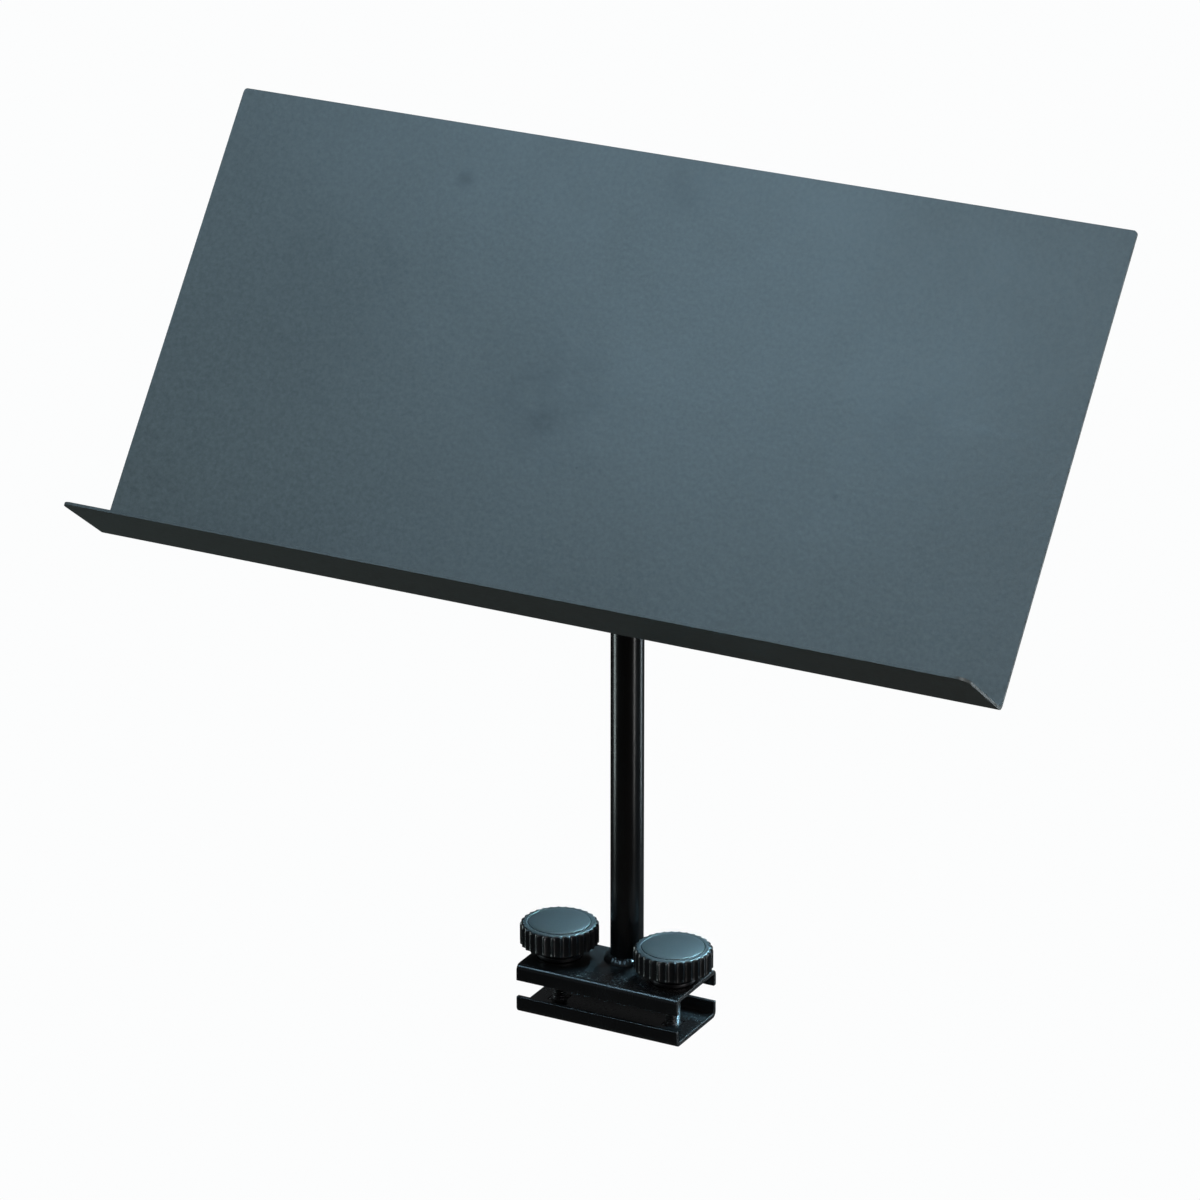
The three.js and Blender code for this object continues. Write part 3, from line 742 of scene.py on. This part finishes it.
def fibre_material():
    material, tree, place = start_material("fibre", Metallic=0.0, IOR=1.45)
    cloud = mask_of(tree, mottling, place, Size=200.0)
    flecks = mask_of(tree, rub_marks, place, Spacing=900.0, Stretch=0.25)
    film = group_node(tree, paint_film, place, Grain_Size=2600.0, Peel_Size=1300.0)
    colour = blend(tree, cloud, (0.075, 0.038, 0.020, 1), (0.130, 0.070, 0.038, 1))
    colour = over(tree, colour, flecks, 0.6, (0.24, 0.15, 0.09, 1))
    rough = remap(tree, film["Grain"], 0.3, 0.7, 0.72, 0.90)
    return finished(material, colour, rough, film["Height"], 0.5, 0.10 * MM)


black_zinc = black_zinc_material()
insert_brass = brass_material()
fibre = fibre_material()
print("materials", len(bpy.data.materials))

# %% [markdown]
# ## Giving a piece its paint and its place in the part
# A finished piece takes one material, rides on one moving body, and takes the place of the
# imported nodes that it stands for.

# %% Dress
def dress(piece, body, slot_name, material, *nodes):
    """Gives a finished piece its paint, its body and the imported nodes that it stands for."""
    piece.data.materials.clear()
    piece.data.materials.append(material)
    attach(piece, body)
    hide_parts(*nodes)
    print(piece.name, "faces", len(piece.data.polygons), "on", body)


print("dress ready")

# %% [markdown]
# ## The desk
# One sheet of steel is folded once: the broad panel that carries the score and the lip that
# stops it sliding off. It could be two boxes, but a real fold is a bend with an inner and an
# outer radius, and the free corners are rounded. So the middle of the sheet is drawn as one
# strip: down the panel, round a quarter circle, out along the lip. The strip is narrower near
# each free edge, by r - sqrt(r^2 - (r - d)^2) at distance d from it, which rounds the corners.
# A large sheet is never quite flat, so the panel also bows by a fraction of a millimetre.
# Solidify gives the strip its thickness, and a small bevel softens the cut edges.

# %% Desk sheet
DESK_HEIGHT = 245 * MM
LIP_DEPTH = 50 * MM
SHEET = 1.5 * MM
FOLD_INNER = 1.5 * MM
LIP_CORNER = 6 * MM
TOP_CORNER = 2 * MM
BOW = 0.22 * MM
BOW_FADE = 40 * MM                  # from the top edge and the fold, which stay straight
desk_width = high["music_desk"][0] - low["music_desk"][0]


def inset(distance, radius):
    """How far a rounded corner pulls the side in, at a distance from the free edge."""
    inside = np.clip(radius - distance, 0, radius)
    return radius - np.sqrt(radius**2 - inside**2)


def corner_rows(radius, steps=7):
    """Distances from a free edge, close together where its corner turns fastest."""
    return radius * (1 - np.cos(np.linspace(0, np.pi / 2, steps)))


def desk_sheet():
    fold = FOLD_INNER + SHEET / 2
    outer = FOLD_INNER + SHEET
    panel = DESK_HEIGHT - outer
    lip = LIP_DEPTH - outer
    bend = np.pi / 2 * fold
    total = panel + bend + lip
    middle_rows = np.linspace(TOP_CORNER, panel, 70)[1:-1]
    bend_rows = panel + np.linspace(0, bend, 11)
    lip_rows = np.linspace(panel + bend, total - LIP_CORNER, 14)[1:-1]
    s = np.concatenate([corner_rows(TOP_CORNER), middle_rows, bend_rows, lip_rows,
                        total - corner_rows(LIP_CORNER)[::-1]])
    turn = np.clip((s - panel) / fold, 0, np.pi / 2)
    along_lip = np.clip(s - panel - bend, 0, None)
    y = -REACH - SHEET / 2 - fold * (1 - np.cos(turn)) - along_lip
    z = DESK_HEIGHT / 2 - np.minimum(s, panel) - fold * np.sin(turn)
    half = desk_width / 2 - inset(s, TOP_CORNER) - inset(total - s, LIP_CORNER)
    across = np.linspace(-1, 1, 141)
    x = half[:, None] * across
    fade = np.clip(s / BOW_FADE, 0, 1) * np.clip((panel - s) / BOW_FADE, 0, 1)
    wave = np.sin(5.2 * across + 0.7) * np.sin(s[:, None] / (52 * MM)) + 0.6 * np.cos(3.1 * across)
    y = y[:, None] + BOW * fade[:, None] * wave
    points = np.stack([x, y, np.broadcast_to(z[:, None], x.shape)], axis=-1)
    return grid("desk_sheet", carried(points, pivot, ON_DESK))


sheet = desk_sheet()
wall = sheet.modifiers.new("wall", "SOLIDIFY")
wall.thickness, wall.offset = SHEET, 0
soften(sheet, 0.35 * MM, 3)
dress(sheet, "desk", "desk_paint", desk_paint, "music_desk")

# %% [markdown]
# ## The tilt bracket
# A steel strap is bent into a U and welded to the back of the desk. Its section is an outline
# with rounded bends, carried up the desk. Seen from the side each ear narrows to a round end
# about the bolt, so the strap is kept only where it overlaps that side outline. The bolt's
# square neck sits in a square hole in the left ear, and the right ear has a round hole.

# %% Bracket
EAR = 11 * MM
STRAP = 2.5 * MM
STRAP_BEND = 1.5 * MM
BRACKET_TALL = 44 * MM
GAP = 0.3 * MM
SHANK = 4 * MM
NECK = 8.4 * MM
HOLE = SHANK + GAP
ear_outer = high["desk_bracket"][0]
ear_inner = ear_outer - STRAP
strap_front = -REACH + GAP
square_hole = (NECK / 2 + GAP) * np.array([(-1, -1), (1, -1), (1, 1), (-1, 1)])


def desk_bracket():
    bend = STRAP_BEND + STRAP
    section = rounded([
        (ear_outer, EAR, 0), (ear_inner, EAR, 0),
        (ear_inner, strap_front + STRAP, STRAP_BEND), (-ear_inner, strap_front + STRAP, STRAP_BEND),
        (-ear_inner, EAR, 0), (-ear_outer, EAR, 0),
        (-ear_outer, strap_front, bend), (ear_outer, strap_front, bend)])
    strap = prism("tilt_bracket", section, -BRACKET_TALL / 2, BRACKET_TALL / 2, pivot, ON_DESK)
    shoulder = strap_front + bend
    around = np.linspace(-np.pi / 2, np.pi / 2, 33)
    arc = on_circle(EAR, around)
    half = BRACKET_TALL / 2
    front = np.array([(strap_front - STRAP, half), (strap_front - STRAP, -half), (shoulder, -half)])
    side = np.concatenate([front, arc, [(shoulder, half)]])
    carve(strap, prism("side", side, -2 * ear_outer, 2 * ear_outer, pivot, ACROSS_DESK), "INTERSECT")
    carve(strap, prism("round", disc(HOLE, 64), 0, 2 * ear_outer, pivot, ACROSS_DESK))
    carve(strap, prism("square", square_hole, -2 * ear_outer, 0, pivot, ACROSS_DESK))
    return soften(strap, 0.3 * MM)


dress(desk_bracket(), "desk", "black_paint", black_enamel, "desk_bracket")

# %% [markdown]
# ## Welds
# A fillet weld is laid in small overlapping pools, so its face is a row of shallow scales.
# The bead is a section carried along a path: the section's face bulges between its two legs,
# and the bulge and the legs swell and shrink a little with each pool. Both ends taper.

# %% Weld beads
def weld_bead(name, corner, outward, upward, leg, pitch, length):
    """corner, outward and upward are arrays along the path: where the two parts meet, and the
    directions along the flat part and up the other. Point = corner + leg (a outward + b upward)
    with a = cos(t) and b = sin(t) drawn in towards the corner to leave the face hollow."""
    s = np.linspace(0, length, len(corner))
    pool = 1 + 0.10 * np.abs(np.sin(np.pi * s / pitch)) + 0.04 * np.sin(2.3 * s / pitch)
    taper = np.sqrt(np.clip(np.minimum(s, length - s) / (1.2 * leg), 0.02, 1))
    size = leg * (pool - 0.12) * taper
    t = np.linspace(0, np.pi / 2, 13)
    hollow = 1 - 0.20 * np.sin(2 * t)
    a = np.concatenate([[0], np.cos(t) * hollow])
    b = np.concatenate([[0], np.sin(t) * hollow])
    reach = outward[:, None, :] * a[:, None] + upward[:, None, :] * b[:, None]
    points = corner[:, None, :] + size[:, None, None] * reach
    return grid(name, points, round_columns=True, fill=True)


BRACKET_WELD = 3 * MM
BRACKET_POOL = 2.2 * MM
WELD_LONG = 34 * MM
for side, hand in ((-1, "left"), (1, "right")):
    z = np.linspace(-WELD_LONG / 2, WELD_LONG / 2, 120)
    local = np.stack([0 * z + side * (ear_outer + GAP), 0 * z + strap_front, z], axis=-1)
    corner = carried(local, pivot, ON_DESK)
    outward = np.broadcast_to(side * RIGHT, corner.shape)
    upward = np.broadcast_to(desk_back, corner.shape)
    bead = weld_bead(f"bracket_bead_{hand}", corner, outward, upward,
                     BRACKET_WELD, BRACKET_POOL, WELD_LONG)
    dress(bead, "desk", "black_paint", weld_enamel, f"bracket_weld_{hand}")

# %% [markdown]
# ## Post
# The post is a round tube: the section of its wall, a thin rectangle with rounded corners, is
# turned about the axis. A hole is cut through both walls for the pin that holds the head.

# %% Post
post_axis = np.array([0.0, pivot[1], 0.0])
post_low, post_high = low["post_tube"][2], high["post_tube"][2]
POST = (high["post_tube"][0] - low["post_tube"][0]) / 2
POST_WALL = 1.8 * MM
PIN = 2 * MM
pin_place = np.array([0.0, pivot[1], centre_of("head_pin")[2]])


def ring_profile(inner, outer, bottom, top, edge, steps=4):
    """Radii and heights of a ring's section: a rectangle with rounded corners."""
    corners = [(inner, bottom, edge), (outer, bottom, edge), (outer, top, edge), (inner, top, edge)]
    outline = rounded(corners, steps)
    return outline[:, 0], outline[:, 1]


radii, heights = ring_profile(POST - POST_WALL, POST, post_low, post_high, 0.35 * MM)
tube = turned("post", radii, heights, post_axis, UPRIGHT, 160, ring=True)
carve(tube, prism("bore", disc(PIN + GAP), -2 * POST, 2 * POST, pin_place, ACROSS_POST))
dress(tube, "clamp_and_post", "black_paint", black_enamel, "post_tube")

# %% [markdown]
# ## Tilt head
# A short steel head is plugged into the top of the post. Its tongue has two flats for the
# friction washers and a round top, so the ears can turn about it. The tongue is an outline
# carried across the post, the spigot under it is turned, and holes are cut for bolt and pin.

# %% Tilt head
FLATS = 14 * MM
head_low = low["tilt_head"][2]


def tilt_head():
    around = np.linspace(0, np.pi, 41)
    arc = on_circle(POST, around)
    foot = post_high + GAP - pivot[2]
    tongue = np.concatenate([arc, [(-POST, foot), (POST, foot)]])
    body = prism("tilt_head", tongue, -FLATS / 2, FLATS / 2, pivot, ACROSS_POST)
    chamfer = 0.8 * MM
    spigot_r = POST - POST_WALL - GAP
    overlap = 2 * MM
    radii = [0, spigot_r - chamfer, spigot_r, spigot_r, 0]
    heights = [head_low, head_low, head_low + chamfer, post_high + overlap, post_high + overlap]
    carve(body, turned("spigot", radii, heights, post_axis, UPRIGHT, 64), "UNION")
    carve(body, prism("bolt_hole", disc(HOLE, 64), -FLATS, FLATS, pivot, ACROSS_POST))
    carve(body, prism("pin_hole", disc(PIN + GAP), -FLATS, FLATS, pin_place, ACROSS_POST))
    return soften(body, 0.35 * MM)


dress(tilt_head(), "clamp_and_post", "black_zinc", black_zinc, "tilt_head")

# %% [markdown]
# ## Spring pin
# A spring pin is a strip rolled into a tube with a slit down its side, so it squeezes into
# its hole. Its section is an open ring, which is carried straight through the post.

# %% Spring pin
PIN_WALL = 0.8 * MM
around = np.linspace(np.radians(15), np.radians(345), 60)
rolled = np.concatenate([on_circle(PIN, around), on_circle(PIN - PIN_WALL, around[::-1])])
pin = prism("spring_pin", rolled, low["head_pin"][0], high["head_pin"][0], pin_place, ACROSS_POST)
dress(soften(pin, 0.12 * MM), "clamp_and_post", "black_zinc", black_zinc, "head_pin")

# %% [markdown]
# ## Weld at the foot
# The post stands near the back of the upper jaw, so its bead runs round the front and sides
# and stops where the jaw's edge comes too close.

# %% Weld round the foot of the post
FOOT_WELD = 3.2 * MM
FOOT_POOL = 2.4 * MM
weld_back = high["post_weld"][1] - pivot[1]
start_angle = math.asin(min(1, weld_back / (POST + FOOT_WELD)))
angle = np.linspace(start_angle, -np.pi - start_angle, 260)
outward = np.stack([np.cos(angle), np.sin(angle), 0 * angle], axis=-1)
foot = np.array([0.0, pivot[1], low["post_weld"][2]])
corner = foot + (POST + GAP) * outward
upward = np.broadcast_to(UP, corner.shape)
run = (POST + GAP) * (np.pi + 2 * start_angle)
bead = weld_bead("post_bead", corner, outward, upward, FOOT_WELD, FOOT_POOL, run)
dress(bead, "clamp_and_post", "black_paint", weld_enamel, "post_weld")

# %% [markdown]
# ## Jaws
# The two jaws are the same pressing, one turned over on the other. A channel section with
# rounded bends is carried along the clamp, and holes are cut for the bolts: round in the
# upper jaw, square in the lower one, where they stop the bolts from turning.

# %% Jaws
JAW_SHEET = 2.5 * MM
JAW_BEND = 0.8 * MM


def jaw(name, node, grip_side, hole):
    """grip_side is -1 if the flanges point down and 1 if they point up."""
    bottom, top = low[node], high[node]
    half = top[1]
    grip = bottom[2] if grip_side < 0 else top[2]
    web = top[2] if grip_side < 0 else bottom[2]
    inner_web = web + grip_side * JAW_SHEET
    lip = 0.4 * MM
    section = rounded([
        (-half, grip, lip), (-half, web, JAW_BEND + JAW_SHEET),
        (half, web, JAW_BEND + JAW_SHEET), (half, grip, lip),
        (half - JAW_SHEET, grip, lip), (half - JAW_SHEET, inner_web, JAW_BEND),
        (JAW_SHEET - half, inner_web, JAW_BEND), (JAW_SHEET - half, grip, lip)], 10)
    channel = prism(name, section, bottom[0], top[0], (0, 0, 0), ACROSS_POST)
    for bolt in ("clamp_bolt_left", "clamp_bolt_right"):
        through = 3 * JAW_SHEET
        place = centre_of(bolt) * (1, 1, 0)
        carve(channel, prism("hole", hole, web - through, web + through, place, UPRIGHT))
    return soften(channel, 0.3 * MM, 3)


dress(jaw("jaw_upper", "upper_jaw", -1, disc(HOLE, 64)), "clamp_and_post", "black_paint",
      jaw_enamel, "upper_jaw")
dress(jaw("jaw_lower", "lower_jaw", 1, square_hole), "lower_clamp", "black_paint",
      jaw_enamel, "lower_jaw")

# %% [markdown]
# ## Bolts
# A carriage bolt has a low domed head, a square neck that keeps it from turning, and a rolled
# thread. All of it is one surface about the bolt's axis whose radius depends on height and
# angle. The neck's radius is that of a square, side / (2 max(|cos t|, |sin t|)), cut off by a
# corner circle. The thread's radius falls and rises with the fraction of height / pitch minus
# turns, so its crest climbs one pitch each time round: a true helix.

# %% Carriage bolts
PITCH = 1.25 * MM
THREAD_DEPTH = 0.65 * MM
HEAD_RADIUS = 9.5 * MM
HEAD_TALL = 4.4 * MM
NECK_LONG = 2.8 * MM


def carriage_bolt(name, seat, length, axes):
    """seat is the point on the axis under the head; length runs from there to the tip."""
    steps = 64
    angle = full_turn(steps)
    t = np.linspace(0, np.pi / 2, 14)
    head_r = HEAD_RADIUS * np.sin(t)
    head_z = -HEAD_TALL * np.cos(t)
    rim_r = np.array([HEAD_RADIUS - 0.15 * MM, 0.62 * NECK])
    rim_z = np.array([0.0, 0.0])
    smooth_rows = np.concatenate([head_r, rim_r])[:, None] * np.ones(steps)
    smooth_z = np.concatenate([head_z, rim_z])
    side = NECK / 2 / np.maximum(np.abs(np.cos(angle)), np.abs(np.sin(angle)))
    square_row = np.minimum(side, 0.66 * NECK)
    neck_rows = np.array([square_row, square_row, 0.97 * square_row])
    neck_z = np.array([0.02 * MM, NECK_LONG - 0.3 * MM, NECK_LONG])
    z = np.arange(NECK_LONG + 0.25 * MM, length - 0.9 * MM, PITCH / 10)
    phase = np.mod(z[:, None] / PITCH - angle / (2 * np.pi), 1.0)
    groove = np.clip(1.25 * (1 - np.abs(2 * phase - 1)) - 0.12, 0, 1)
    fade = np.clip((z - z[0]) / PITCH, 0, 1)[:, None]
    thread = SHANK - 0.05 * MM - THREAD_DEPTH * groove * fade
    tip_r = np.array([SHANK - THREAD_DEPTH, SHANK - 1.4 * THREAD_DEPTH, 0.0])
    tip_z = np.array([length - 0.7 * MM, length, length])
    rows = np.concatenate([smooth_rows, neck_rows, thread, tip_r[:, None] * np.ones(steps)])
    return turned(name, rows, np.concatenate([smooth_z, neck_z, z, tip_z]), seat, axes, steps)


for hand in ("left", "right"):
    node = f"clamp_bolt_{hand}"
    seat = np.array([*centre_of(node)[:2], low[node][2] + HEAD_TALL])
    bolt = carriage_bolt(f"carriage_bolt_{hand}", seat, high[node][2] - seat[2], UPRIGHT)
    dress(bolt, "lower_clamp", "black_zinc", black_zinc, node)

seat = np.array([low["tilt_bolt"][0] + HEAD_TALL, pivot[1], pivot[2]])
bolt = carriage_bolt("tilt_carriage_bolt", seat, high["tilt_bolt"][0] - seat[0], ACROSS_DESK)
dress(bolt, "desk", "black_zinc", black_zinc, "tilt_bolt")

# %% [markdown]
# ## Washers
# A washer could be a cylinder with a hole, but stamping and tumbling round its edges. So it is
# the section of its ring, a small rectangle with rounded corners, turned about the bolt's axis.

# %% Washers
STEEL_OUTER = 8 * MM
FIBRE_OUTER = 8.5 * MM


def plain_washer(name, node, body, slot_name, material, outer, along, axes, origin, edge):
    """along picks the world axis that the washer's hole follows: 0 is X and 2 is Z."""
    radii, heights = ring_profile(HOLE, outer, low[node][along], high[node][along], edge)
    piece = turned(name, radii, heights, origin, axes, 96, ring=True)
    dress(piece, body, slot_name, material, node)


across_origin = np.array([0.0, pivot[1], pivot[2]])
for hand in ("left", "right"):
    node = f"clamp_washer_{hand}"
    outer = (high[node] - low[node])[0] / 2
    plain_washer(f"washer_{hand}", node, "clamp_and_post", "black_zinc", black_zinc, outer,
                 2, UPRIGHT, centre_of(node) * (1, 1, 0), edge=0.35 * MM)
    plain_washer(f"fibre_{hand}", f"friction_washer_{hand}", "desk", "fibre", fibre, FIBRE_OUTER,
                 0, ACROSS_DESK, across_origin, edge=0.15 * MM)
plain_washer("washer_tilt", "tilt_washer", "backed_off_washer", "black_zinc", black_zinc,
             STEEL_OUTER, 0, ACROSS_DESK, across_origin, edge=0.3 * MM)

# %% [markdown]
# ## Knobs
# A fluted knob could be a cylinder with grooves cut out of it. It is simpler and cleaner as
# one surface again: a list of rings from the end of the blind hole, down its wall, across the
# hub, up the outside and over the top. Each ring has a radius, a height and a share of the
# flutes. On the side the share is 1, and over the rounded shoulder it falls, so the flutes
# run out at the top as they do on a moulding. One flute is |sin|: a round valley between two
# narrow ridges. The plain top has a raised centre disc.

# %% Fluted knobs
FLUTE_DEEP = 1.3 * MM
TOP_WALL = 2.5 * MM
POCKET = 6.5 * MM + GAP
POCKET_DEEP = 10.6 * MM
HUB_TALL = 4.2 * MM
RIM_TALL = 11.5 * MM
SHOULDER = 2.0 * MM
FOOT = 0.8 * MM
TOP_GROOVE = 2.4 * MM
CLAMP_KNOB = (20.5 * MM, 12 * MM, 30)   # outer radius, hub radius, number of flutes
TILT_KNOB = (16 * MM, 9 * MM, 24)


def arc_rows(centre_r, centre_z, radius, start, end, steps=7):
    """Rings along a quarter circle in the section, from one angle to another in degrees."""
    t = np.radians(np.linspace(start, end, steps))
    return np.stack([centre_r + radius * np.cos(t), centre_z + radius * np.sin(t)], axis=-1)


def knob_rings(outer, hub):
    """(radius, height, share of the flutes) for each ring."""
    top = HUB_TALL + RIM_TALL
    hole_end = top - TOP_WALL

    def rows(points, share):
        points = np.atleast_2d(points)
        share = np.broadcast_to(share, len(points))
        return np.column_stack([points, share])

    bore = [(0, hole_end), (HOLE, hole_end), (HOLE, POCKET_DEEP), (POCKET, POCKET_DEEP), (POCKET, 0)]
    crown = outer - SHOULDER
    plateau = crown - TOP_GROOVE
    return np.concatenate([
        rows(bore, 0),
        rows(arc_rows(hub - 0.5 * MM, 0.5 * MM, 0.5 * MM, -90, 0, 5), 0),
        rows(arc_rows(hub + 1.2 * MM, HUB_TALL - 1.2 * MM, 1.2 * MM, 180, 90, 6), 0),
        rows([(outer - FOOT - 1.2 * MM, HUB_TALL)], 0),
        rows(arc_rows(outer - FOOT, HUB_TALL + FOOT, FOOT, -90, 0, 6), np.linspace(0.5, 1, 6)),
        rows(np.stack([np.full(9, outer),
                       np.linspace(HUB_TALL + FOOT, top - SHOULDER, 11)[1:-1]], axis=-1), 1),
        rows(arc_rows(crown, top - SHOULDER, SHOULDER, 0, 90, 11),
             np.linspace(1.25, 0.25, 11).clip(max=1)),
        rows([(crown - 0.9 * MM, top + 0.05 * MM), (plateau + 0.9 * MM, top + 0.05 * MM)], 0),
        rows(arc_rows(plateau + 0.5 * MM, top - 0.25 * MM, 0.3 * MM, 90, 180, 4), 0),
        rows(arc_rows(plateau - 0.3 * MM, top - 0.25 * MM, 0.35 * MM, 0, 90, 4) + (0, 0.25 * MM), 0),
        rows([(f * plateau, top + (0.4 + 0.45 * (1 - f**2)) * MM)
              for f in (0.85, 0.6, 0.35, 0.15, 0)], 0)])


def fluted_knob(name, outer, hub, flutes, face, axes):
    """face is the point on the axis where the hub's flat end lies."""
    rings = knob_rings(outer, hub)
    steps = flutes * 12
    angle = full_turn(steps)
    groove = np.abs(np.sin(flutes * angle / 2)) ** 0.85
    radii = rings[:, :1] - FLUTE_DEEP * rings[:, 2:] * groove
    return turned(name, np.maximum(radii, 0), rings[:, 1], face, axes, steps)


for hand in ("left", "right"):
    node = f"clamp_knob_{hand}"
    face = np.array([*centre_of(node)[:2], low[node][2]])
    knob = fluted_knob(f"knob_{hand}", *CLAMP_KNOB, face, UPRIGHT)
    dress(knob, f"{hand}_knob", "knob_plastic", knob_plastic, node)

face = np.array([low["tilt_knob"][0], pivot[1], pivot[2]])
knob = fluted_knob("knob_tilt", *TILT_KNOB, face, ACROSS_DESK)
dress(knob, "tilt_knob", "knob_plastic", tilt_knob_plastic, "tilt_knob")

# %% [markdown]
# ## What stays as it was packed
# The brass inserts sit deep in the knobs and their plain rings are already right, so the
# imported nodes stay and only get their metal.

# %% Inserts
for node in ("knob_insert_left", "knob_insert_right", "tilt_knob_insert"):
    insert = frame["nodes"][node]
    for place in insert.material_slots:
        place.material = insert_brass
print("kept", [name for name in frame["nodes"] if "insert" in name])

# %% [markdown]
# ## Size
# The imported model's box is printed. The visual model must fill the same space as the imported
# one.

# %% Finish
print("packed", [np.round(corner, 4).tolist() for corner in cad_box])
